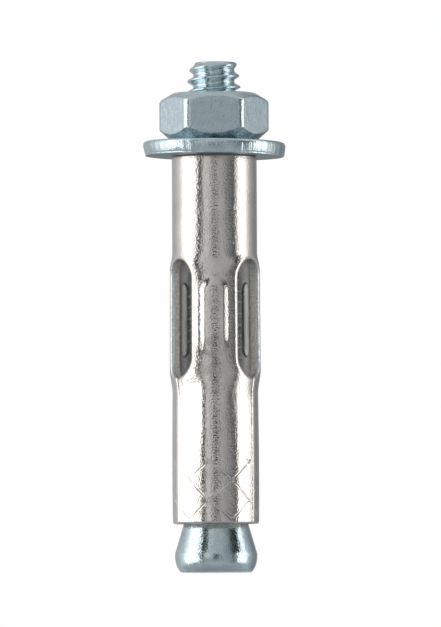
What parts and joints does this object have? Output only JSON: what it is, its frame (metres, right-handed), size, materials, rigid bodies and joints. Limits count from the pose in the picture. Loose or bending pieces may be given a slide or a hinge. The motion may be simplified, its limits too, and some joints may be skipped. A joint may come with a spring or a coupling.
{
  "type": "expansion anchor",
  "caption": "Sleeve-type masonry anchor: a coned stud in a slotted sheet-metal sleeve, with a washer and a hexagon nut that draws the cone into the sleeve.",
  "frame": {"origin": "middle of the flat end of the stud's cone, the face the anchor stands on", "axes": "+Z along the stud from the cone to the tip; -Y towards the middle of one of the sleeve's three strips and one flat of the nut; +X to the right of that view"},
  "size_m": [0.016, 0.016, 0.0571],
  "materials": {
    "zinc_plated_steel": "blue-passivated zinc, satin",
    "bright_plated_sheet": "bright plated sheet, polished with a fine grain"
  },
  "bodies": {
    "cone_bolt": {"stud": "zinc_plated_steel"},
    "sleeve_stack": {"sleeve": "bright_plated_sheet", "washer": "zinc_plated_steel"},
    "nut": {"hex_nut": "zinc_plated_steel"}
  },
  "joints": [
    {"name": "sleeve_travel", "type": "slide", "parent": "cone_bolt", "child": "sleeve_stack", "axis": [0, 0, 1], "range_m": [0, 0.00571]},
    {"name": "nut_turn", "type": "hinge", "parent": "sleeve_stack", "child": "nut", "pos_m": [0, 0, 0.0482], "axis": [0, 0, 1], "range_deg": [0, 1620]}
  ],
  "couplings": [
    {"joint": "nut_turn", "follows": "sleeve_travel", "rad_per_m": 4947.4}
  ]
}
